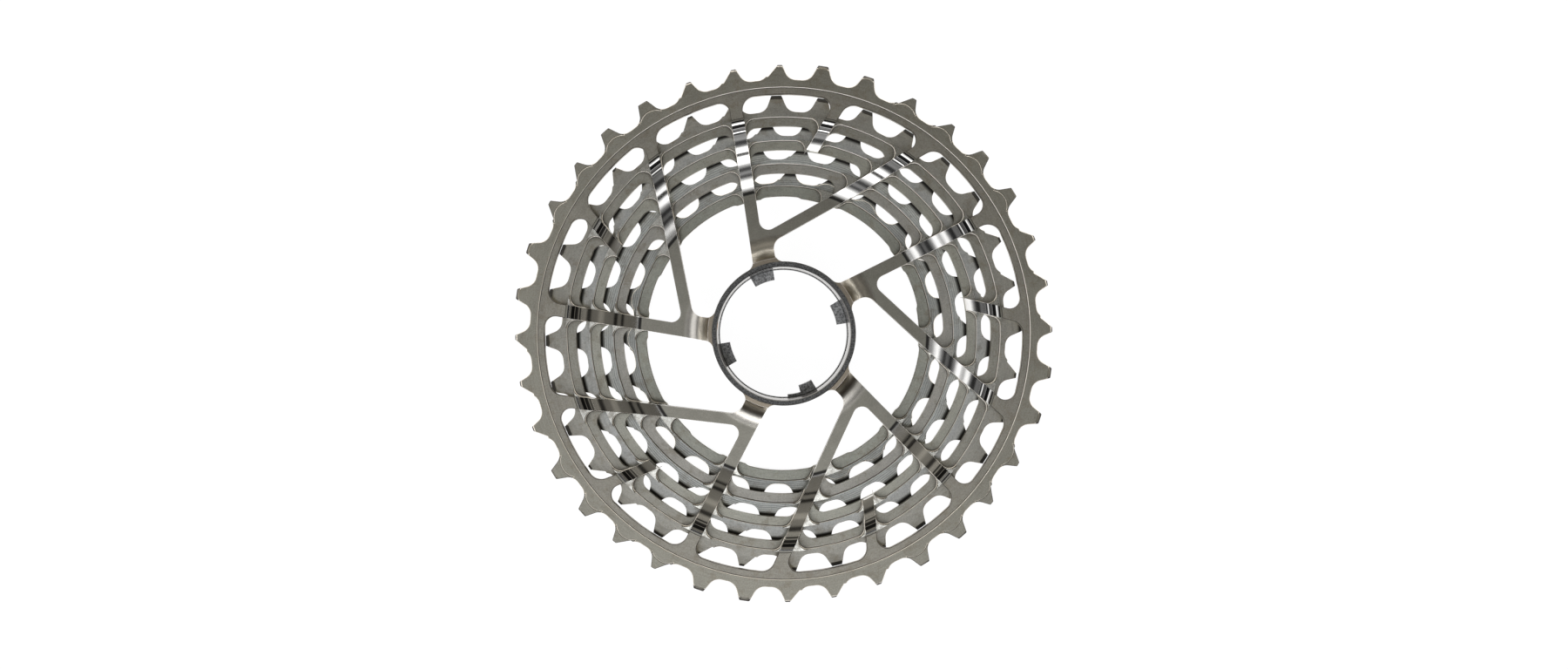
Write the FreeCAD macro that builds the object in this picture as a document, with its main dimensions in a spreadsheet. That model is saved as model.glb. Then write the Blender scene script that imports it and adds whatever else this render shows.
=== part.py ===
# Cassette sprocket cluster: five toothed discs carried on a forked spider and a thin hub collar.
#
# Frame: the bore axis is Z. The back faces of the largest disc and of the collar lie at z = 0 and
# the cluster narrows downwards. Angles run clockwise from +Y as seen from above. A "wall" is a
# straight side of an arm: a line that runs in the direction of its angle and passes the axis at
# its offset, which is positive on the clockwise side.
import FreeCAD, Part

import math
import os
from collections import namedtuple

import Sketcher
from FreeCAD import Placement, Rotation, Vector

Wall = namedtuple("Wall", "angle offset")
Disc = namedtuple("Disc", "teeth repeats short relieved")

SECTORS = 5
SECTOR_ANGLE = 360.0 / SECTORS

# Teeth of each disc, largest first. The first disc's tooth pattern comes four times round; on the
# others it doesn't repeat. Short teeth have a shaved leading flank and a lower tip, and relieved
# teeth have a thinner face. Teeth are numbered clockwise from the first gullet.
DISCS = (
    Disc(36, 4, (2, 3, 6, 7, 8), (2, 3, 4, 5)),
    Disc(32, 1, (5, 6, 8, 16, 17, 19, 20, 27, 29, 30), (6, 7, 17, 18, 28, 29)),
    Disc(29, 1, (5, 6, 8, 9, 15, 19, 24, 25, 27, 28), (6, 7, 15, 16, 25, 26)),
    Disc(26, 1, (0, 6, 8, 9, 14, 15, 17, 18, 25), (0, 1, 8, 9, 17, 18)),
    Disc(23, 1, (0, 1, 4, 8, 9, 16, 17), (1, 2, 9, 10, 17, 18)),
)

DRIVING = {
    # chain and teeth
    "chain_pitch": 12.7,
    "root_drop": 3.9,
    "tooth_height": 4.5,
    "gullet_radius": 3.2,
    "gullet_spread": 0.88,
    "flank_angle": 27.0,
    "tip_bevel_width": 1.1,
    "tip_bevel_depth": 0.5,
    "relief_radius": 4.5,
    "relief_crest": 1.45,
    "relief_depth": 0.3,
    "shave_base": 2.4,
    "shave_foot": 0.9,
    "shave_tip": 0.35,
    "short_height": 4.0,
    # discs
    "disc_spacing": 3.74,
    "disc_thickness": 1.8,
    "land_drop": 0.25,
    "land_slope": 50.0,
    "last_disc_bore": 38.5,
    "window_fillet": 2.8,
    "wide_window_fillet": 3.6,
    "web_fillet": 2.6,
    # clockwise place of the first gullet, radius of the milled step and of the rim's inner edge
    "gullet_angle_36": 3.43, "step_radius_36": 66.98, "rim_radius_36": 65.0,
    "gullet_angle_32": 3.85, "step_radius_32": 59.5, "rim_radius_32": 57.0,
    "gullet_angle_29": 1.1, "step_radius_29": 53.6, "rim_radius_29": 51.0,
    "gullet_angle_26": -1.8, "step_radius_26": 47.7, "rim_radius_26": 45.0,
    "gullet_angle_23": -6.1, "step_radius_23": 41.9, "rim_radius_23": 38.9,
    # arms: direction, offset from the axis and width of each limb
    "near_limb_angle": 63.4, "near_limb_offset": -3.75, "near_limb_width": 3.5,
    "slant_limb_angle": 60.7, "slant_limb_offset": -25.3, "slant_limb_width": 3.2,
    "short_arm_angle": 32.5, "short_arm_offset": -20.4, "short_arm_width": 2.95,
    "foot_width": 6.35,
    "foot_flare": 2.4,
    "foot_corner": 3.4,
    "crotch_fillet": 2.5,
    # turned profile of the arms
    "crest_radius": 59.1,
    "scoop_curve": 23.7,
    "scoop_end": 39.3,
    "arm_top": -8.0,
    "arm_underside": -10.2,
    "underside_fillet": 2.0,
    "foot_curve_start": 27.7,
    "foot_curve": 7.0,
    "foot_top": -0.6,
    # hub collar and lugs
    "bore_radius": 18.15,
    "bore_depth": 12.8,
    "lug_seat_radius": 17.95,
    "collar_radius": 19.6,
    "collar_length": 16.0,
    "collar_chamfer": 0.2,
    "lug_radius": 15.3,
    "lug_length": 3.0,
    "lug_half_angle": 10.75,
    "shoulder_radius": 17.3,
}

# Middles of the three equal lugs, the edges of the index lug and the far edge of its shoulder.
LUG_ANGLES = (340.0, 70.0, 250.0)
INDEX_ANGLES = (149.1, 163.8, 176.0)

CLEAR = 2.0   # how far a cutting outline runs past the metal


doc = FreeCAD.newDocument("cassette_sprocket")
sheet = doc.addObject("Spreadsheet::Sheet", "dims")
for row, (alias, size) in enumerate(DRIVING.items(), start=1):
    sheet.set(f"A{row}", alias)
    sheet.set(f"B{row}", str(size))
    sheet.setAlias(f"B{row}", alias)
doc.recompute()


def value(alias):
    return float(sheet.get(alias))


# ---------------------------------------------------------------- plane geometry

def place(angle, along, across=0.0):
    """The point that lies along a direction, and across it on the clockwise side."""
    turn = math.radians(angle)
    return Vector(along * math.sin(turn) + across * math.cos(turn),
                  along * math.cos(turn) - across * math.sin(turn), 0)


def wall_point(wall, radius):
    return place(wall.angle, math.sqrt(radius ** 2 - wall.offset ** 2), wall.offset)


def line(start, end):
    return Part.LineSegment(start, end)


def round_arc(start, centre, end):
    """The shorter arc about a centre."""
    radius = (start - centre).Length
    middle = (start - centre) + (end - centre)
    middle.normalize()
    return Part.Arc(start, centre + middle * radius, end)


def ring_arc(start, end):
    return round_arc(start, Vector(0, 0, 0), end)


def polygon(points):
    return [line(start, end) for start, end in zip(points, points[1:] + points[:1])]


def rim_fillet(wall, side, rim, fillet):
    """Where a fillet between a wall and a circle touches both, and its centre.

    side is +1 when the opening lies clockwise of the wall. The fillet is inside the circle, or
    outside it when its radius is given as negative."""
    across = wall.offset + side * abs(fillet)
    reach = rim - fillet
    along = math.sqrt(reach ** 2 - across ** 2)
    centre = place(wall.angle, along, across)
    return place(wall.angle, along, wall.offset), centre, centre * (rim / reach)


def wall_fillet(first, first_side, second, second_side, fillet):
    """Where a fillet between two walls touches both, and its centre."""
    first_offset = first.offset + first_side * fillet
    second_offset = second.offset + second_side * fillet
    turn = math.radians(second.angle - first.angle)
    along = (first_offset * math.cos(turn) - second_offset) / math.sin(turn)
    centre = place(first.angle, along, first_offset)
    on_first = centre - place(first.angle, 0, first_side * fillet)
    on_second = centre - place(second.angle, 0, second_side * fillet)
    return on_first, centre, on_second


def limb_wall(limb, side, sectors=0):
    """One side of a limb: -1 is its anticlockwise wall, +1 its clockwise wall."""
    return Wall(value(f"{limb}_angle") + sectors * SECTOR_ANGLE,
                value(f"{limb}_offset") + side * value(f"{limb}_width") / 2)


def opening(left, right, closing, rim, left_fillet, right_fillet):
    """The gap between two walls, from a closing radius out to a rim, with rounded corners."""
    left_wall, left_centre, left_rim = rim_fillet(left, 1, rim, left_fillet)
    right_wall, right_centre, right_rim = rim_fillet(right, -1, rim, right_fillet)
    left_in = wall_point(left, closing)
    right_in = wall_point(right, closing)
    return [line(left_in, left_wall), round_arc(left_wall, left_centre, left_rim),
            ring_arc(left_rim, right_rim), round_arc(right_rim, right_centre, right_wall),
            line(right_wall, right_in), line(right_in, left_in)]


def corner_web(wall, side, rim, fillet):
    """What a rounded corner of an opening leaves between its fillet, the wall and the rim."""
    on_wall, centre, on_rim = rim_fillet(wall, side, rim, fillet)
    corner = wall_point(wall, rim)
    return [line(corner, on_wall), round_arc(on_wall, centre, on_rim), ring_arc(on_rim, corner)]


def gaps(with_short_arm):
    """The pairs of walls that face each other across the gaps of one sector."""
    near_right = limb_wall("near_limb", 1, sectors=-1)
    slant_left = limb_wall("slant_limb", -1)
    last = (limb_wall("slant_limb", 1), limb_wall("near_limb", -1))
    if not with_short_arm:
        return [(near_right, slant_left), last]
    return [(near_right, limb_wall("short_arm", -1)), (limb_wall("short_arm", 1), slant_left), last]


def turned(outline, sectors):
    """An outline turned clockwise about the axis by whole sectors."""
    spin = Placement(Vector(0, 0, 0), Rotation(Vector(0, 0, 1), -sectors * SECTOR_ANGLE)).toMatrix()
    copies = [edge.copy() for edge in outline]
    for edge in copies:
        edge.transform(spin)
    return copies


# ---------------------------------------------------------------- features

def origin_feature(body, role):
    return next(item for item in body.Origin.OriginFeatures if item.Role == role)


def new_body(name):
    body = doc.addObject("PartDesign::Body", name)
    body.Label = name
    return body


def add_sketch(body, name, outlines, role="XY_Plane"):
    sketch = body.newObject("Sketcher::SketchObject", name)
    sketch.AttachmentSupport = [(origin_feature(body, role), "")]
    sketch.MapMode = "FlatFace"
    for outline in outlines:
        sketch.addGeometry(outline, False)
    return sketch


def add_pad(body, sketch, length, downwards=True):
    pad = body.newObject("PartDesign::Pad", f"{sketch.Name}_pad")
    pad.Profile = sketch
    pad.setExpression("Length", length)
    pad.Reversed = downwards
    return pad


def add_pocket(body, sketch, depth=None, slope=0):
    """A cut downwards from the sketch: to a depth, or all the way through.

    A slope leans the walls outwards, so the cut is narrower at its floor."""
    pocket = body.newObject("PartDesign::Pocket", f"{sketch.Name}_cut")
    pocket.Profile = sketch
    pocket.TaperAngle = -slope
    pocket.Refine = False
    if depth:
        pocket.setExpression("Length", depth)
    else:
        pocket.Type = "ThroughAll"
    return pocket


def add_groove(body, sketch):
    groove = body.newObject("PartDesign::Groove", f"{sketch.Name}_cut")
    groove.Profile = sketch
    groove.ReferenceAxis = (sketch, ["V_Axis"])
    groove.Angle = 360
    return groove


def add_polar(body, feature, count):
    pattern = body.newObject("PartDesign::PolarPattern", f"{feature.Name}_ring")
    pattern.Originals = [feature]
    pattern.Axis = (origin_feature(body, "Z_Axis"), [""])
    pattern.Angle = 360
    pattern.Occurrences = count
    pattern.Refine = False
    body.Tip = pattern
    return pattern


# ---------------------------------------------------------------- toothed discs

def root_radius(teeth):
    pitch_radius = value("chain_pitch") / (2 * math.sin(math.pi / teeth))
    return pitch_radius - value("root_drop")


def disc_bore(index):
    """Inner reach of a disc's arm seats: the milled step of the next disc."""
    if index + 1 < len(DISCS):
        return value(f"step_radius_{DISCS[index + 1].teeth}")
    return value("last_disc_bore")


def gullet(teeth):
    """One gap between teeth: a flat bottom, two seat arcs and two straight flanks."""
    angle = value(f"gullet_angle_{teeth}")
    root = root_radius(teeth)
    radius = value("gullet_radius")
    spread = value("gullet_spread")
    flank = math.radians(value("flank_angle"))
    top = value("tooth_height") + CLEAR
    touch_across = spread + radius * math.cos(flank)
    touch_up = radius - radius * math.sin(flank)
    top_across = touch_across + (top - touch_up) * math.tan(flank)

    def spot(across, up):
        return place(angle, root + up, across)

    return [line(spot(-spread, 0), spot(spread, 0)),
            round_arc(spot(spread, 0), spot(spread, radius), spot(touch_across, touch_up)),
            line(spot(touch_across, touch_up), spot(top_across, top)),
            line(spot(top_across, top), spot(-top_across, top)),
            line(spot(-top_across, top), spot(-touch_across, touch_up)),
            round_arc(spot(-touch_across, touch_up), spot(-spread, radius), spot(-spread, 0))]


def tooth_angle(teeth, number):
    return value(f"gullet_angle_{teeth}") + (number + 0.5) * 360.0 / teeth


def shave(teeth, number):
    """What is milled off a short tooth: its anticlockwise flank and the top of its tip."""
    angle = tooth_angle(teeth, number)
    root = root_radius(teeth)
    base, foot, tip = value("shave_base"), value("shave_foot"), value("shave_tip")
    low, high = value("short_height"), value("tooth_height") + CLEAR
    corners = [(-base, foot), (tip, low), (base, low), (base, high), (-2 * base, high), (-2 * base, foot)]
    return polygon([place(angle, root + up, across) for across, up in corners])


def relief(teeth, number):
    """The thinner face of a relieved tooth, which starts at an arc across the tooth's base."""
    angle = tooth_angle(teeth, number)
    root = root_radius(teeth)
    radius = value("relief_radius")
    centre_up = value("relief_crest") - radius
    half_width = math.sqrt(radius ** 2 - centre_up ** 2)
    left, right = place(angle, root, -half_width), place(angle, root, half_width)
    top = root + value("tooth_height") + CLEAR
    left_top, right_top = place(angle, top, -half_width), place(angle, top, half_width)
    return [round_arc(left, place(angle, root + centre_up), right), line(right, right_top),
            line(right_top, left_top), line(left_top, left)]


def add_blank(body, disc, bore):
    """The flat annulus that a disc is cut from."""
    sketch = add_sketch(body, f"blank_{disc.teeth}", [])
    centre, up = Vector(0, 0, 0), Vector(0, 0, 1)
    tip = f"dims.chain_pitch / (2 * sin(180 deg / {disc.teeth})) - dims.root_drop + dims.tooth_height"
    for radius, rule in ((root_radius(disc.teeth), tip), (bore, f"{bore}")):
        circle = sketch.addGeometry(Part.Circle(centre, up, radius), False)
        sketch.addConstraint(Sketcher.Constraint("Coincident", circle, 3, -1, 1))
        size = sketch.addConstraint(Sketcher.Constraint("Radius", circle, radius))
        sketch.setExpression(f"Constraints[{size}]", rule)
    add_pad(body, sketch, "dims.disc_thickness")


def add_tip_bevels(body, disc):
    """A turned bevel on both faces of the tooth tips."""
    tip = root_radius(disc.teeth) + value("tooth_height")
    width, depth = value("tip_bevel_width"), value("tip_bevel_depth")
    bottom = -value("disc_thickness")
    slope = depth / width
    back = [(tip - width, 0), (tip + CLEAR, -slope * (width + CLEAR)), (tip + CLEAR, CLEAR),
            (tip - width, CLEAR)]
    front = [(radius, bottom - height) for radius, height in back]
    outlines = [polygon([Vector(radius, height, 0) for radius, height in corners])
                for corners in (back, front)]
    for name, outline in zip(("back", "front"), outlines):
        add_groove(body, add_sketch(body, f"{name}_bevel_{disc.teeth}", [outline], "XZ_Plane"))


def add_teeth(body, disc):
    name = disc.teeth
    cut = add_pocket(body, add_sketch(body, f"gullet_{name}", [gullet(disc.teeth)]))
    add_polar(body, cut, disc.teeth)
    shaved = [shave(disc.teeth, number) for number in disc.short]
    relieved = [relief(disc.teeth, number) for number in disc.relieved]
    for kind, outlines, depth in (("shave", shaved, None), ("relief", relieved, "dims.relief_depth")):
        cut = add_pocket(body, add_sketch(body, f"{kind}_{name}", outlines), depth)
        if disc.repeats > 1:
            add_polar(body, cut, disc.repeats)


def add_windows(body, disc, index):
    """Openings between the arms, which leave an inward seat under every arm."""
    rim = value(f"rim_radius_{disc.teeth}")
    fillet = value("window_fillet")
    left_fillet = value("wide_window_fillet") if index == 0 else fillet
    closing = disc_bore(index) - CLEAR
    outlines = [opening(left, right, closing, rim, left_fillet, fillet)
                for left, right in gaps(index < 2)]
    cut = add_pocket(body, add_sketch(body, f"windows_{disc.teeth}", outlines))
    add_polar(body, cut, SECTORS)


def add_land(body, disc, index):
    """The slightly lower inner land: turned on the largest disc, milled between arms on the rest."""
    step = value(f"step_radius_{disc.teeth}")
    inner = disc_bore(index) - CLEAR
    drop, slope = value("land_drop"), value("land_slope")
    if index == 0:
        foot = step - drop * math.tan(math.radians(slope))
        corners = [(inner, -drop), (foot, -drop), (step, 0), (step, CLEAR), (inner, CLEAR)]
        outline = polygon([Vector(radius, height, 0) for radius, height in corners])
        add_groove(body, add_sketch(body, f"land_{disc.teeth}", [outline], "XZ_Plane"))
        return
    fillet = value("web_fillet")
    outlines = [opening(left, right, inner, step, fillet, fillet) for left, right in gaps(index < 3)]
    sketch = add_sketch(body, f"land_{disc.teeth}", outlines)
    add_polar(body, add_pocket(body, sketch, "dims.land_drop", slope), SECTORS)


def make_disc(index, disc):
    body = new_body(f"sprocket_{disc.teeth}t")
    add_blank(body, disc, disc_bore(index))
    add_tip_bevels(body, disc)
    add_windows(body, disc, index)
    add_land(body, disc, index)
    add_teeth(body, disc)
    body.setExpression("Placement.Base.z", f"-{index} * dims.disc_spacing")
    return body


# ---------------------------------------------------------------- arms

def arm_reach():
    return value("step_radius_32")


def forked_outline():
    """A forked arm seen from above: a foot on the collar and two straight limbs."""
    near_left, near_right = limb_wall("near_limb", -1), limb_wall("near_limb", 1)
    slant_left, slant_right = limb_wall("slant_limb", -1, 1), limb_wall("slant_limb", 1, 1)
    foot_right = Wall(near_left.angle, near_left.offset + value("foot_width"))
    collar, reach = value("collar_radius"), arm_reach()
    flare_left = rim_fillet(near_left, -1, collar, -value("foot_flare"))
    flare_right = rim_fillet(foot_right, 1, collar, -value("foot_flare"))
    crotch = wall_fillet(near_right, 1, slant_left, -1, value("crotch_fillet"))
    corner = wall_fillet(foot_right, 1, slant_right, 1, value("foot_corner"))
    near_tips = [wall_point(wall, reach) for wall in (near_left, near_right)]
    slant_tips = [wall_point(wall, reach) for wall in (slant_left, slant_right)]
    return [round_arc(flare_left[2], flare_left[1], flare_left[0]),
            line(flare_left[0], near_tips[0]), ring_arc(*near_tips), line(near_tips[1], crotch[0]),
            round_arc(*crotch),
            line(crotch[2], slant_tips[0]), ring_arc(*slant_tips), line(slant_tips[1], corner[2]),
            round_arc(corner[2], corner[1], corner[0]),
            line(corner[0], flare_right[0]), round_arc(*flare_right),
            ring_arc(flare_right[2], flare_left[2])]


def short_outline():
    """A short arm seen from above, from the third disc's rim out to the first disc's seats."""
    left, right = limb_wall("short_arm", -1), limb_wall("short_arm", 1)
    inner, outer = value("rim_radius_29"), arm_reach()
    points = [wall_point(left, inner), wall_point(left, outer), wall_point(right, outer),
              wall_point(right, inner)]
    return [line(points[0], points[1]), ring_arc(points[1], points[2]),
            line(points[2], points[3]), ring_arc(points[3], points[0])]


def top_profile():
    """The half section turned away above the arms: crest, scoop, flat and the curve up the foot.

    The crest arc meets the level outer face and the scoop smoothly."""
    level = -value("land_drop")
    crest, end, flat = value("crest_radius"), value("scoop_end"), value("arm_top")
    scoop, foot, start = value("scoop_curve"), value("foot_curve"), value("foot_curve_start")
    run, rise = crest - end, flat + scoop - level
    crest_curve = (run ** 2 + rise ** 2 - scoop ** 2) / (2 * (scoop - rise))
    scoop_centre = Vector(end, flat + scoop, 0)
    crest_centre = Vector(crest, level - crest_curve, 0)
    towards = crest_centre - scoop_centre
    towards.normalize()
    join = scoop_centre + towards * scoop
    outer = arm_reach() + CLEAR
    inner = value("collar_radius") - CLEAR
    foot_centre = Vector(start, flat + foot, 0)
    foot_high = Vector(start - foot, flat + foot, 0)
    corners = [foot_high, Vector(foot_high.x, value("foot_top"), 0), Vector(inner, value("foot_top"), 0),
               Vector(inner, CLEAR, 0), Vector(outer, CLEAR, 0), Vector(outer, level, 0),
               Vector(crest, level, 0)]
    straight = [line(first, second) for first, second in zip(corners, corners[1:])]
    return straight + [round_arc(Vector(crest, level, 0), crest_centre, join),
                       round_arc(join, scoop_centre, Vector(end, flat, 0)),
                       line(Vector(end, flat, 0), Vector(start, flat, 0)),
                       round_arc(Vector(start, flat, 0), foot_centre, foot_high)]


def bottom_profile():
    """The half section cut away below the arms: one step for each disc, then the underside."""
    outer = arm_reach() + CLEAR
    inner = value("collar_radius") - CLEAR
    deep = -value("disc_spacing") * len(DISCS) - CLEAR
    rim, under = value("rim_radius_23"), value("arm_underside")
    fillet = value("underside_fillet")
    steps = []
    radius = outer
    for index, disc in enumerate(DISCS[1:], start=1):
        height = -index * value("disc_spacing")
        following = DISCS[index + 1:index + 2]
        next_radius = value(f"step_radius_{following[0].teeth}") if following else rim
        steps += [Vector(radius, height, 0), Vector(next_radius, height, 0)]
        radius = next_radius
    corner = [Vector(rim, under - fillet, 0), Vector(rim - fillet, under, 0)]
    path = steps + corner[:1]
    closing = corner[1:] + [Vector(inner, under, 0), Vector(inner, deep, 0),
                            Vector(outer, deep, 0), steps[0]]
    return ([line(first, second) for first, second in zip(path, path[1:])]
            + [round_arc(corner[0], Vector(rim - fillet, under - fillet, 0), corner[1])]
            + [line(first, second) for first, second in zip(closing, closing[1:])])


def make_arm(name, outline, sector):
    """An arm: its plan, padded to the cluster's depth, then turned above and below."""
    body = new_body(f"{name}_{sector + 1}")
    plan = add_sketch(body, f"{name}_plan_{sector + 1}", [outline])
    add_pad(body, plan, f"dims.disc_spacing * {len(DISCS)}")
    for side, profile in (("top", top_profile()), ("bottom", bottom_profile())):
        add_groove(body, add_sketch(body, f"{name}_{side}_{sector + 1}", [profile], "XZ_Plane"))
    body.Placement = Placement(Vector(0, 0, 0), Rotation(Vector(0, 0, 1), -sector * SECTOR_ANGLE))
    return body


# ---------------------------------------------------------------- webs, collar and lugs

def make_extrusion(name, outlines, base, length):
    """Separate prisms that stand side by side in one node."""
    sketch = doc.addObject("Sketcher::SketchObject", f"{name}_plan")
    for outline in outlines:
        sketch.addGeometry(outline, False)
    prism = doc.addObject("Part::Extrusion", name)
    prism.Label = name
    prism.Base = sketch
    prism.DirMode = "Normal"
    prism.Solid = True
    prism.setExpression("LengthFwd", length)
    prism.setExpression("Placement.Base.z", base)
    return prism


def make_webs(index):
    """Corner webs that stand on one disc, beside every arm, and reach up to the disc above."""
    upper, lower = DISCS[index].teeth, DISCS[index + 1].teeth
    rim, fillet = value(f"step_radius_{lower}"), value("web_fillet")
    corners = []
    for left, right in gaps(index < 2):
        corners += [corner_web(left, 1, rim, fillet), corner_web(right, -1, rim, fillet)]
    outlines = [turned(outline, sector) for sector in range(SECTORS) for outline in corners]
    return make_extrusion(f"webs_{upper}_{lower}", outlines, f"-{index + 1} * dims.disc_spacing",
                          "dims.disc_spacing - dims.disc_thickness")


def make_collar():
    """The thin tube round the bore, with a shallow step where the lugs begin and broken edges."""
    body = new_body("hub_collar")
    bore, depth, seat = value("bore_radius"), value("bore_depth"), value("lug_seat_radius")
    outside, length, chamfer = value("collar_radius"), value("collar_length"), value("collar_chamfer")
    corners = [(bore + chamfer, 0), (outside - chamfer, 0), (outside, -chamfer),
               (outside, chamfer - length), (outside - chamfer, -length), (seat + chamfer, -length),
               (seat, chamfer - length), (seat, -depth), (bore, -depth), (bore, -chamfer)]
    section = polygon([Vector(radius, height, 0) for radius, height in corners])
    sketch = add_sketch(body, "collar_section", [section], "XZ_Plane")
    tube = body.newObject("PartDesign::Revolution", "collar_tube")
    tube.Profile = sketch
    tube.ReferenceAxis = (sketch, ["V_Axis"])
    tube.Angle = 360
    return body


def sector_outline(start, end, inner):
    """A piece of a ring against the stepped end of the bore."""
    outer = value("lug_seat_radius")
    return [ring_arc(place(start, outer), place(end, outer)), line(place(end, outer), place(end, inner)),
            ring_arc(place(end, inner), place(start, inner)), line(place(start, inner), place(start, outer))]


def index_outline():
    """The index lug and the shallow shoulder that runs on from it."""
    start, middle, end = INDEX_ANGLES
    outer, inner, shoulder = value("lug_seat_radius"), value("lug_radius"), value("shoulder_radius")
    return [ring_arc(place(start, outer), place(end, outer)), line(place(end, outer), place(end, shoulder)),
            ring_arc(place(end, shoulder), place(middle, shoulder)),
            line(place(middle, shoulder), place(middle, inner)),
            ring_arc(place(middle, inner), place(start, inner)),
            line(place(start, inner), place(start, outer))]


def make_lugs():
    half = value("lug_half_angle")
    equal = [sector_outline(middle - half, middle + half, value("lug_radius")) for middle in LUG_ANGLES]
    base = "dims.collar_chamfer - dims.collar_length"
    return [make_extrusion("spline_lugs", equal, base, "dims.lug_length"),
            make_extrusion("index_lug", [index_outline()], base, "dims.lug_length")]


# ---------------------------------------------------------------- the cluster

def check(parts):
    """Stop on any failed object, empty or invalid shape, or cut that removed nothing."""
    for item in doc.Objects:
        if "Invalid" in item.State or "Error" in item.State:
            raise RuntimeError(f"{item.Name} failed: {item.State}")
        if item.TypeId in ("PartDesign::Pocket", "PartDesign::Groove"):
            if item.Shape.Volume > item.BaseFeature.Shape.Volume - 1e-3:
                raise RuntimeError(f"{item.Name} removed nothing")
    for part in parts:
        if part.Shape.isNull() or not part.Shape.isValid():
            raise RuntimeError(f"{part.Label} has no valid shape")
        print(f"{part.Label}: {len(part.Shape.Solids)} solid(s), {part.Shape.Volume:.1f} mm3")


parts = [make_disc(index, disc) for index, disc in enumerate(DISCS)]
parts += [make_arm("spider_arm", forked_outline(), sector) for sector in range(SECTORS)]
parts += [make_arm("bridge_arm", short_outline(), sector) for sector in range(SECTORS)]
parts += [make_webs(index) for index in range(len(DISCS) - 1)]
parts.append(make_collar())
parts += make_lugs()
doc.recompute()
check(parts)

os.makedirs("parts", exist_ok=True)
for part in parts:
    part.Shape.exportStep(f"parts/{part.Label}.step")
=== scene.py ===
import math

import bpy
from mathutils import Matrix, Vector


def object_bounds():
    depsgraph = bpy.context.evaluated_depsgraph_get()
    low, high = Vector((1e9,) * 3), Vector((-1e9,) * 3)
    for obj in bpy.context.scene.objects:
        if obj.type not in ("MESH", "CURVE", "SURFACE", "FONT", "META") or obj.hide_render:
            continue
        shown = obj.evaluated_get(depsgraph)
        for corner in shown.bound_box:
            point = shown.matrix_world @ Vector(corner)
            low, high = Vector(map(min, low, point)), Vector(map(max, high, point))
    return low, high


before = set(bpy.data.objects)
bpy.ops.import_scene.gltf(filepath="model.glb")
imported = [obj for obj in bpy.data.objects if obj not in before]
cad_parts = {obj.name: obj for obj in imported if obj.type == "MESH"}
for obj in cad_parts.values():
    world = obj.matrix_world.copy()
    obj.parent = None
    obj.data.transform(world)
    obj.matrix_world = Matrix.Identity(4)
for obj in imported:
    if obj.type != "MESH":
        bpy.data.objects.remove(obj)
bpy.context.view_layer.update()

MM = 0.001
TEETH = (36, 32, 29, 26, 23)
SPACING = 3.74 * MM
CHAMFER = 0.15 * MM

# Chain pitch and how far the tooth tips stand above the pitch circle, in mm.
CHAIN_PITCH = 12.7
TIP_HEIGHT = 0.6

# Where each disc's toothed band steps down to its land, and where its rim ends, in mm from the axis.
STEP_RADIUS = {36: 66.98, 32: 59.5, 29: 53.6, 26: 47.7, 23: 41.9}
RIM_RADIUS = {36: 65.0, 32: 57.0, 29: 51.0, 26: 45.0}


def compass(angle):
    """The level direction at an angle in degrees, clockwise from +Y as the camera sees it."""
    turn = math.radians(angle)
    return (math.sin(turn), math.cos(turn), 0)


# ---------------------------------------------------------------- node helpers

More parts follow.
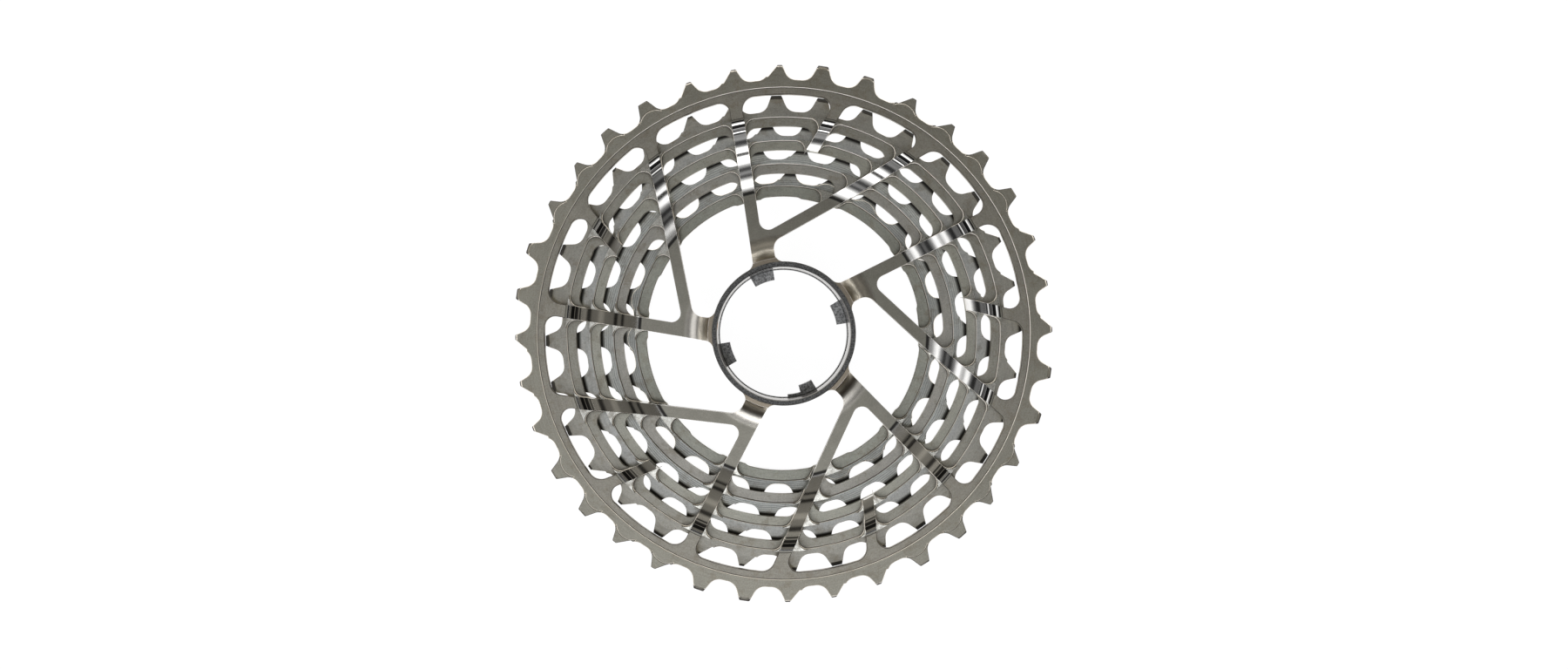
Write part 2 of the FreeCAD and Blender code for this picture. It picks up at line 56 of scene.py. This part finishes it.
class Graph:
    """A material's or world's node tree, with one short call for each kind of node used here."""

    def __init__(self, tree):
        self.nodes = tree.nodes
        self.links = tree.links

    def add(self, kind, **settings):
        node = self.nodes.new(kind)
        for key, setting in settings.items():
            setattr(node, key, setting)
        return node

    def feed(self, socket, source):
        """Link a socket to another node's output, or set it to a fixed value."""
        if hasattr(source, "is_output"):
            self.links.new(source, socket)
        else:
            socket.default_value = source

    def math(self, operation, *sources):
        node = self.add("ShaderNodeMath", operation=operation)
        for socket, source in zip(node.inputs, sources):
            self.feed(socket, source)
        return node.outputs[0]

    def chain(self, operation, first, *others):
        for other in others:
            first = self.math(operation, first, other)
        return first

    def plus(self, *terms):
        return self.chain("ADD", *terms)

    def times(self, *factors):
        return self.chain("MULTIPLY", *factors)

    def vector(self, operation, *sources):
        node = self.add("ShaderNodeVectorMath", operation=operation)
        for socket, source in zip(node.inputs, sources):
            self.feed(socket, source)
        return node.outputs["Value" if operation in ("DOT_PRODUCT", "LENGTH") else "Vector"]

    def split(self, vector):
        node = self.add("ShaderNodeSeparateXYZ")
        self.feed(node.inputs[0], vector)
        return node.outputs

    def join(self, x, y, z):
        node = self.add("ShaderNodeCombineXYZ")
        for socket, source in zip(node.inputs, (x, y, z)):
            self.feed(socket, source)
        return node.outputs[0]

    def fade(self, source, start, end):
        """0 at start, 1 at end, with a soft step between."""
        node = self.add("ShaderNodeMapRange", interpolation_type="SMOOTHSTEP")
        for name, setting in (("Value", source), ("From Min", start), ("From Max", end)):
            self.feed(node.inputs[name], setting)
        return node.outputs[0]

    def span(self, source, low, high):
        """Low where the source is 0, high where it is 1, and a straight line between."""
        node = self.add("ShaderNodeMapRange")
        for name, setting in (("Value", source), ("To Min", low), ("To Max", high)):
            self.feed(node.inputs[name], setting)
        return node.outputs[0]

    def mix(self, factor, first, second, blend="MIX"):
        node = self.add("ShaderNodeMix", data_type="RGBA", blend_type=blend)
        self.feed(node.inputs[0], factor)
        self.feed(node.inputs[6], first if hasattr(first, "is_output") else (*first, 1))
        self.feed(node.inputs[7], second if hasattr(second, "is_output") else (*second, 1))
        return node.outputs[2]

    def paint(self, under, mask, over, strength=None):
        """One colour over another where a mask is 1, thinned by a strength below 1."""
        return self.mix(self.times(mask, strength) if strength else mask, under, over)

    def tint(self, color, by):
        return self.mix(1.0, color, by, "MULTIPLY")

    def grey(self, value):
        node = self.add("ShaderNodeCombineColor")
        for socket in node.inputs[:3]:
            self.feed(socket, value)
        return node.outputs[0]

    def noise(self, vector, size, detail=2.0, roughness=0.5):
        """Noise with lumps of about the given size in metres, from 0 to 1."""
        node = self.add("ShaderNodeTexNoise")
        self.feed(node.inputs["Vector"], vector)
        node.inputs["Scale"].default_value = 1 / size
        node.inputs["Detail"].default_value = detail
        node.inputs["Roughness"].default_value = roughness
        return node.outputs[0]

    def ramp(self, source, stops):
        """Grey levels at places from 0 to 1 along the source, and straight lines between them."""
        node = self.add("ShaderNodeValToRGB")
        band = node.color_ramp
        self.feed(node.inputs[0], source)
        while len(band.elements) < len(stops):
            band.elements.new(1.0)
        for element, (place, level) in zip(band.elements, stops):
            element.position = place
            element.color = (level, level, level, 1)
        return node.outputs[0]

    def bump(self, height, distance):
        node = self.add("ShaderNodeBump")
        self.feed(node.inputs["Height"], height)
        node.inputs["Distance"].default_value = distance
        return node.outputs[0]


class Metal(Graph):
    """A metal material whose patterns follow the bore axis and the part's own surface."""

    def __init__(self, name):
        self.material = bpy.data.materials.new(name)
        self.material.use_nodes = True
        super().__init__(self.material.node_tree)
        self.shader = self.nodes["Principled BSDF"]
        self.shader.inputs["Metallic"].default_value = 1
        self.place = self.add("ShaderNodeTexCoord").outputs["Object"]
        self.x, self.y, self.z = self.split(self.place)
        self.radius = self.vector("LENGTH", self.join(self.x, self.y, 0.0))
        self.turn = self.math("ARCTAN2", self.y, self.x)
        self.normal = self.add("ShaderNodeNewGeometry").outputs["Normal"]
        self.facing = self.split(self.normal)[2]

    def lathe(self, across, along, middle=50 * MM):
        """A place for noise of size 1: fine across the turning, drawn out along it at a middle radius."""
        return self.join(self.times(self.radius, 1 / across), self.times(self.turn, middle / along),
                         self.times(self.z, 1 / across))

    def reach(self, start, end):
        """0 at one distance from the axis and 1 at another, given in mm."""
        return self.fade(self.radius, start * MM, end * MM)

    def between(self, low, high, soft=0.05):
        """1 where the distance from the axis is between two radii, given in mm."""
        return self.math("SUBTRACT", self.reach(low - soft, low + soft), self.reach(high - soft, high + soft))

    def slope(self, start, low, high, end):
        """1 on faces whose normal's upward part is from low to high, fading to 0 at start and end."""
        return self.times(self.fade(self.facing, start, low), self.fade(self.facing, end, high))

    def lines(self, spacing, wander):
        """Tool lines round the axis that wander a little: 1 on a line and 0 between."""
        drift = self.times(self.noise(self.place, 9 * MM), wander)
        run = self.math("DIVIDE", self.plus(self.radius, drift), spacing)
        return self.fade(self.math("PINGPONG", run, 0.5), 0.16, 0.04)

    def finish(self, color, roughness, normal):
        self.feed(self.shader.inputs["Base Color"], color)
        self.feed(self.shader.inputs["Roughness"], roughness)
        self.feed(self.shader.inputs["Normal"], normal)
        return self.material


# ---------------------------------------------------------------- discs

# Painted highlight for bright edges.
EDGE_HIGHLIGHT = (1.000, 0.930, 0.810)
# Painted shade: near black, for closed-in corners, under rims and a dark line on the arms.
PAINTED_SHADE = (0.034, 0.032, 0.028)
STAIN = (0.150, 0.105, 0.060)
SMEAR = (0.260, 0.225, 0.165)
TOOL_LINE = (0.100, 0.095, 0.090)
# Painted shade on tip bevels, and at the foot of each step.
TIP_SHADE = (0.050, 0.045, 0.040)
STEP_FOOT_SHADE = (0.100, 0.090, 0.080)

# Colour of each disc's toothed band and of the milled land inside it.
BAND_COLOR = {36: (0.372, 0.347, 0.279), 32: (0.414, 0.390, 0.329), 29: (0.525, 0.515, 0.468),
              26: (0.581, 0.581, 0.529), 23: (0.478, 0.478, 0.435)}
LAND_COLOR = {36: (0.370, 0.341, 0.278), 32: (0.388, 0.365, 0.301), 29: (0.465, 0.446, 0.367),
              26: (0.451, 0.425, 0.365), 23: (0.405, 0.397, 0.329)}

# The discs whose toothed bands keep their tool lines.
LINED = (26, 23)

# Upward part of the normal on the chamfers, on the bevels of the tips, and on faces that look up.
CHAMFER_SLOPE = (0.42, 0.52, 0.78, 0.84)
TIP_SLOPE = (0.15, 0.30, 0.94, 0.97)
UPWARD = (0.6, 0.8)

# Depths under a disc's top face: where the land begins, and where a chamfer turns from dark to bright.
LAND_DEPTH = (0.08 * MM, 0.16 * MM)
LINE_DEPTH = (0.14 * MM, 0.09 * MM)

# How near a wall has to be to close in a corner.
CORNER_REACH = 2.4 * MM


def tip_radius(teeth):
    return CHAIN_PITCH / (2 * math.sin(math.pi / teeth)) + TIP_HEIGHT


def disc_steel(index, teeth):
    """Nickel steel: a cool toothed band, a warmer land, painted highlights on the chamfers and painted shadow
    under the rim above.
    """
    metal = Metal(f"disc_{teeth}_steel")
    depth = metal.math("SUBTRACT", -index * SPACING, metal.z)
    step = STEP_RADIUS[teeth]
    land = metal.times(metal.fade(depth, *LAND_DEPTH), metal.reach(step + 0.2, step - 0.1))
    chamfer = metal.slope(*CHAMFER_SLOPE)
    fine = metal.noise(metal.place, 0.35 * MM, 3, 0.65)
    broad = metal.noise(metal.place, 7 * MM, 3, 0.6)
    brushed = metal.noise(metal.lathe(0.45 * MM, 3 * MM), 1.0, 4, 0.65)
    smear = metal.noise(metal.place, 3.5 * MM, 4, 0.7)

    color = metal.mix(land, BAND_COLOR[teeth], LAND_COLOR[teeth])
    color = metal.paint(color, metal.fade(smear, 0.48, 0.68), SMEAR, 0.55)
    shade = metal.plus(metal.span(fine, 0.60, 1.46), metal.span(broad, -0.20, 0.20),
                       metal.span(brushed, -0.26, 0.26))
    color = metal.tint(color, metal.grey(shade))
    height = metal.times(fine, 0.5)
    if teeth in LINED:
        band = metal.times(metal.span(land, 1.0, 0.0), metal.fade(metal.facing, 0.6, 0.9))
        tool = metal.times(metal.lines(0.55 * MM, 1.6 * MM), band)
        color = metal.paint(color, tool, TOOL_LINE, 0.65)
        height = metal.math("SUBTRACT", height, tool)

    # Stains in patches, and painted shade everywhere in the corners that a nearby wall closes in.
    corner = metal.add("ShaderNodeAmbientOcclusion", samples=6)
    corner.inputs["Distance"].default_value = CORNER_REACH
    opening = corner.outputs["AO"]
    patches = metal.fade(metal.noise(metal.place, 2.2 * MM, 3), 0.42, 0.66)
    color = metal.paint(color, metal.times(metal.fade(opening, 0.62, 0.35), patches), STAIN, 0.5)
    color = metal.paint(color, metal.fade(opening, 0.62, 0.34), PAINTED_SHADE, 0.95)

    # Painted shade on the sloping bevels of the tooth tips, darkest on the smaller discs.
    tip = tip_radius(teeth)
    bevel = metal.times(metal.reach(tip - 1.3, tip - 1.1), metal.slope(*TIP_SLOPE))
    color = metal.paint(color, bevel, TIP_SHADE, 0.85 if index else 0.35)

    # Painted highlights on the chamfers level with the top face, and painted shadow on the ones at the foot
    # of the step.
    color = metal.paint(color, chamfer, metal.mix(metal.fade(depth, *LINE_DEPTH), STEP_FOOT_SHADE, EDGE_HIGHLIGHT))

    # Painted shadow on the strip just under the rim of the disc above, where little light reaches.
    if index:
        rim = RIM_RADIUS[TEETH[index - 1]]
        under = metal.times(metal.reach(rim - 1.1, rim - 0.1), metal.fade(metal.facing, *UPWARD))
        color = metal.paint(color, under, PAINTED_SHADE)

    roughness = metal.plus(metal.span(broad, 0.36, 0.46), metal.times(land, 0.02), metal.times(chamfer, 0.10))
    return metal.finish(color, roughness, metal.bump(height, 0.013 * MM))


# ---------------------------------------------------------------- arms

SATIN_ARM = (0.280, 0.262, 0.212)
POLISHED_ARM = (0.620, 0.590, 0.530)
FOOT = (0.660, 0.610, 0.520)
BROWN = (0.220, 0.170, 0.110)
# Painted dark reflection, put on the feet of two arms.
FOOT_DARK_REFLECTION = (0.045, 0.034, 0.024)
# Painted dark reflection, put in bands on the crest.
CREST_DARK_REFLECTION = (0.055, 0.052, 0.047)

# Roughness of the satin parts of an arm, and the radius of the rounded copy of its surface that finds its
# edges for the painted highlights.
SATIN = 0.34
EDGE_ROUNDING = 0.22 * MM

# Zones of an arm, in mm from the axis.
POLISHED_ZONE = (40.0, 59.1)
SCOOP = (40.3, 55.5)
CREST = (55.4, 59.1)
CREST_DARK_BANDS = ((56.25, 57.02), (57.2, 58.05), (58.7, 59.1))
SCOOP_FOOT_DARK_LINE = (39.6, 40.5)
BRIGHT_EDGES = (20.0, 56.0)
DARK_FOOT_ZONE = (22.0, 24.1)
OUTSIDE_FROM = (59.1, 59.2)
FOOT_FROM = (28.0, 26.0)
BROWN_FROM = (22.5, 20.6)

# Compass directions of the two arms whose feet get a painted dark reflection, nearly black.
DARK_REFLECTING_FEET = (200, 130)


def arm_steel():
    """Turned steel: a polished scoop and crest, satin limbs, and feet that brown towards the collar."""
    metal = Metal("arm_steel")
    fine = metal.noise(metal.place, 0.4 * MM, 3, 0.6)
    turned = metal.noise(metal.lathe(0.22 * MM, 5 * MM), 1.0, 2, 0.6)
    broad = metal.noise(metal.place, 3.5 * MM, 4, 0.7)
    polish = metal.between(*POLISHED_ZONE)
    scoop = metal.between(*SCOOP, 0.3)
    crest = metal.between(*CREST)
    outside = metal.reach(*OUTSIDE_FROM)
    foot = metal.reach(*FOOT_FROM)

    color = metal.mix(polish, SATIN_ARM, POLISHED_ARM)
    color = metal.paint(color, foot, FOOT)
    color = metal.paint(color, metal.reach(*BROWN_FROM), BROWN, 0.8)
    # A painted dark reflection: a near-black line round the foot of the scoop.
    color = metal.paint(color, metal.between(*SCOOP_FOOT_DARK_LINE, 0.25), PAINTED_SHADE)
    outward = metal.vector("NORMALIZE", metal.join(metal.x, metal.y, 0.0))
    # Painted dark reflection, nearly black, on the feet of two arms.
    for angle in DARK_REFLECTING_FEET:
        near = metal.fade(metal.vector("DOT_PRODUCT", outward, compass(angle)), 0.94, 0.97)
        color = metal.paint(color, metal.times(near, metal.between(*DARK_FOOT_ZONE, 0.9)), FOOT_DARK_REFLECTION, 0.9)
    grain = metal.plus(metal.span(fine, -0.26, 0.26), metal.span(broad, -0.22, 0.22))
    grain = metal.times(grain, metal.span(polish, 1.0, 0.3))
    color = metal.tint(color, metal.grey(metal.plus(metal.span(turned, 0.94, 1.06), grain)))
    # Dark bands painted on the crest, standing in for the dark reflections of its fine steps.
    for low, high in CREST_DARK_BANDS:
        color = metal.paint(color, metal.between(low, high), CREST_DARK_REFLECTION)

    # Painted highlights along the edges: where the normal of a rounded copy of the surface leans away from
    # the real one.
    rounded = metal.add("ShaderNodeBevel", samples=6)
    rounded.inputs["Radius"].default_value = EDGE_ROUNDING
    lean = metal.vector("DOT_PRODUCT", rounded.outputs[0], metal.normal)
    edge_highlight = metal.times(metal.fade(lean, 0.985, 0.90), metal.fade(metal.facing, 0.3, 0.5))
    color = metal.paint(color, metal.times(edge_highlight, metal.between(*BRIGHT_EDGES)), EDGE_HIGHLIGHT)

    roughness = metal.plus(SATIN, metal.times(scoop, -0.26), metal.times(crest, -0.26),
                           metal.times(foot, -0.05), metal.span(fine, -0.02, 0.02),
                           metal.times(outside, 0.06))
    roughness = metal.span(metal.times(edge_highlight, 0.8), roughness, SATIN)
    height = metal.plus(metal.times(turned, 0.6), metal.times(fine, 0.4))
    height = metal.times(height, metal.span(crest, 1.0, 0.15))
    return metal.finish(color, roughness, metal.bump(height, 0.002 * MM))


# ---------------------------------------------------------------- webs, collar and lugs

WEB = (0.520, 0.500, 0.435)
END_FACE = ((0.062, 0.061, 0.057), (0.245, 0.240, 0.226))
RUST = (0.550, 0.240, 0.050)
RUST_MIDDLE = (-18.15, 2.1, -1.6)
LUG = ((0.130, 0.130, 0.125), (0.620, 0.610, 0.585))

# Colours of the collar's wall: the first one at its top, then the depths in mm between which each
# next one fades in.
WALL_TOP = (0.110, 0.105, 0.095)
WALL_BANDS = ((0.8, 1.3, (0.270, 0.245, 0.222)), (7.6, 8.4, (0.640, 0.610, 0.560)),
              (10.6, 11.2, (0.080, 0.075, 0.070)))


def web_steel():
    """Milled corner webs, browned in patches where they meet the arms."""
    metal = Metal("web_steel")
    fine = metal.noise(metal.place, 0.4 * MM, 3, 0.6)
    blotch = metal.noise(metal.place, 1.5 * MM, 3, 0.6)
    color = metal.paint(WEB, metal.fade(blotch, 0.46, 0.70), STAIN, 0.45)
    color = metal.tint(color, metal.grey(metal.span(fine, 0.74, 1.32)))
    return metal.finish(color, metal.span(blotch, 0.10, 0.42), metal.bump(fine, 0.010 * MM))


def collar_steel():
    """A dark grainy end face, a turned wall in bands, and one rust spot at the bore's edge."""
    metal = Metal("collar_steel")
    grain = metal.noise(metal.place, 0.45 * MM, 4, 0.75)
    turned = metal.noise(metal.lathe(0.3 * MM, 8 * MM), 1.0)
    face = metal.fade(metal.facing, 0.80, 0.95)
    wall = WALL_TOP
    for start, end, band in WALL_BANDS:
        wall = metal.paint(wall, metal.fade(metal.z, -start * MM, -end * MM), band)
    color = metal.mix(face, wall, metal.mix(metal.fade(grain, 0.35, 0.70), *END_FACE))
    away = metal.vector("SUBTRACT", metal.place, [part * MM for part in RUST_MIDDLE])
    rust = metal.fade(metal.vector("LENGTH", away), 1.5 * MM, 0.8 * MM)
    color = metal.paint(color, rust, RUST)
    roughness = metal.plus(metal.span(turned, 0.16, 0.24), metal.times(face, 0.28), metal.times(rust, 0.3))
    height = metal.plus(metal.times(grain, face), metal.times(turned, 0.15))
    return metal.finish(color, roughness, metal.bump(height, 0.02 * MM))


def lug_steel():
    """Rough dark forged steel."""
    metal = Metal("lug_steel")
    grain = metal.noise(metal.place, 0.5 * MM, 4, 0.8)
    color = metal.mix(metal.fade(grain, 0.36, 0.68), *LUG)
    return metal.finish(color, metal.span(grain, 0.42, 0.58), metal.bump(grain, 0.05 * MM))


# ---------------------------------------------------------------- dressing the CAD nodes

def dress(names, material, chamfer=0.0):
    """Give nodes a material, and break their sharp edges by a width if one is given."""
    for name in names:
        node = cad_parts[name]
        node.data.materials.clear()
        node.data.materials.append(material)
        if chamfer:
            node.modifiers.new("weld", "WELD").merge_threshold = 0.0005 * MM
            flatten = node.modifiers.new("flatten", "DECIMATE")
            flatten.decimate_type = "DISSOLVE"
            flatten.angle_limit = math.radians(0.3)
            bevel = node.modifiers.new("edge", "BEVEL")
            bevel.width = chamfer
            bevel.segments = 1
            bevel.limit_method = "ANGLE"
            bevel.angle_limit = math.radians(60)


for index, teeth in enumerate(TEETH):
    dress([f"sprocket_{teeth}t"], disc_steel(index, teeth), CHAMFER)
dress([f"{kind}_arm_{number}" for kind in ("spider", "bridge") for number in range(1, 6)], arm_steel())
dress([f"webs_{upper}_{lower}" for upper, lower in zip(TEETH, TEETH[1:])], web_steel())
dress(["hub_collar"], collar_steel())
dress(["spline_lugs", "index_lug"], lug_steel())


# ---------------------------------------------------------------- studio

# Brightness of the studio at each angle from straight up, in degrees: first the side with the
# lamps, then the side without. Dark strips are the camera and the gaps between the lamps.
LIT_SIDE = ((0, 0.3), (3.5, 0.6), (6, 1.1), (8.5, 1.8), (11, 1.9), (13, 1.2), (15, 0.55), (17.5, 0.2),
            (19.3, 0.04), (21, 0.05), (23.5, 0.2), (25.8, 0.16), (27.3, 0.04), (30.3, 0.04), (32.5, 0.2),
            (35, 0.45), (37.5, 1.2), (40, 2.0), (43, 2.0), (46, 1.0), (49, 0.75), (52, 1.6), (55.5, 1.9),
            (57.8, 0.9), (60, 0.35), (62.5, 0.07), (64, 0.03), (67.5, 0.03), (70, 0.25), (76, 0.1))
DIM_SIDE = ((0, 0.16), (3.5, 0.18), (10, 0.2), (17, 0.22), (19.3, 0.02), (21, 0.02), (22.5, 0.2),
            (25.8, 0.2), (27.3, 0.02), (30.3, 0.02), (32, 0.2), (43, 0.22), (46, 0.38), (50, 0.42),
            (54, 0.24), (61, 0.22), (64, 0.03), (67.5, 0.04), (71, 0.38), (75, 0.2))
PEAK = 2.0
RIGHT_ANGLE = 90

# Angles from straight up where a belt of light or dark starts, is full, begins to end, and ends.
GAP_BELT = (45.5, 48.0, 50.5, 52.5)
HORIZON_BELT = (75.0, 81.0, 92.0, 104.0)

# Brightness away from a direction and towards it.
LAMP_LEVELS = (0.92, 2.3)
SHADE_LEVELS = (1.0, 0.72)
HORIZON_LEVELS = (1.3, 0.585)

LIT_TINT = (0.95, 0.99, 1.08)
DIM_TINT = (1.02, 1.00, 0.94)
GAP_LIGHT = (0.02, 0.02, 0.02)
BACKDROP = (0.82, 0.82, 0.82)

# Compass directions: the middle of the lit side, its brightest lamp, the dark gap between two
# lamps, the shaded side, and the bright and dark sides of the horizon.
LIT_DIRECTION = 212
LAMP_DIRECTION = 178
GAP_DIRECTION = 174
SHADED_DIRECTION = 90
BRIGHT_HORIZON = 345
DARK_HORIZON = 170

world = bpy.data.worlds.new("studio")
bpy.context.scene.world = world
world.use_nodes = True
sky = Graph(world.node_tree)
look = sky.vector("NORMALIZE", sky.add("ShaderNodeTexCoord").outputs["Generated"])
x, y, z = sky.split(look)
from_top = sky.math("DEGREES", sky.math("ARCCOSINE", z))
level = sky.vector("NORMALIZE", sky.join(x, y, 0.0))


def aim(angle):
    """How far the line of sight points towards a direction: 1 towards it, -1 away from it."""
    return sky.vector("DOT_PRODUCT", level, compass(angle))


def ring(levels, tint):
    """The light of one side at each angle from straight up, as a share of the peak."""
    stops = [(angle / RIGHT_ANGLE, brightness / PEAK) for angle, brightness in levels]
    return sky.tint(sky.ramp(sky.times(from_top, 1 / RIGHT_ANGLE), stops), tint)


def belt(start, full, last, end):
    """1 on a ring of the studio between two angles from straight up, fading out past both."""
    return sky.times(sky.fade(from_top, start, full), sky.fade(from_top, end, last))


lamp = sky.span(sky.fade(aim(LAMP_DIRECTION), 0.65, 1.0), *LAMP_LEVELS)
lit = sky.tint(ring(LIT_SIDE, LIT_TINT), sky.grey(lamp))
gap = sky.times(belt(*GAP_BELT), sky.fade(aim(GAP_DIRECTION), 0.50, 0.75))
lit = sky.paint(lit, gap, GAP_LIGHT)
rings = sky.mix(sky.fade(aim(LIT_DIRECTION), -0.15, 0.30), ring(DIM_SIDE, DIM_TINT), lit)
shade = sky.span(sky.fade(aim(SHADED_DIRECTION), 0.2, 0.9), *SHADE_LEVELS)
rings = sky.tint(rings, sky.grey(shade))
horizon = sky.times(sky.fade(aim(BRIGHT_HORIZON), -1.0, 0.2), belt(*HORIZON_BELT),
                    sky.span(sky.fade(aim(DARK_HORIZON), 0.70, 0.98), *HORIZON_LEVELS))
studio = sky.vector("MULTIPLY", sky.vector("ADD", rings, sky.grey(horizon)), (PEAK, PEAK, PEAK))
seen = sky.add("ShaderNodeLightPath").outputs["Is Camera Ray"]
sky.feed(world.node_tree.nodes["Background"].inputs["Color"], sky.mix(seen, studio, BACKDROP))

FLOOR_SIZE = 6
FLOOR_GAP = 0.2 * MM
PAPER_GREY = 0.12
PAPER_GLOW = 0.97

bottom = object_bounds()[0].z
bpy.ops.mesh.primitive_plane_add(size=FLOOR_SIZE, location=(0, 0, bottom - FLOOR_GAP))
floor = bpy.context.object
floor.name = "floor"
paper = bpy.data.materials.new("paper")
paper.use_nodes = True
shader = paper.node_tree.nodes["Principled BSDF"]
shader.inputs["Base Color"].default_value = (PAPER_GREY, PAPER_GREY, PAPER_GREY, 1)
shader.inputs["Roughness"].default_value = 1
shader.inputs["Specular IOR Level"].default_value = 0
shader.inputs["Emission Color"].default_value = (1, 1, 1, 1)
shader.inputs["Emission Strength"].default_value = PAPER_GLOW
floor.data.materials.append(paper)


# ---------------------------------------------------------------- camera

EYE = Vector((-2.84, 0.99, 334.0)) * MM
SENSOR = 36.0
IMAGE_WIDTH = 1800
FOCAL_PIXELS = 1413
SHIFT = (0.00682, -0.00297)
NEAREST = 10 * MM

camera = bpy.data.cameras.new("camera")
camera.sensor_width = SENSOR
camera.lens = SENSOR * FOCAL_PIXELS / IMAGE_WIDTH
camera.shift_x, camera.shift_y = SHIFT
camera.clip_start = NEAREST
eye = bpy.data.objects.new("camera", camera)
bpy.context.scene.collection.objects.link(eye)
eye.location = EYE
bpy.context.scene.camera = eye
bpy.context.scene.view_settings.view_transform = "Standard"
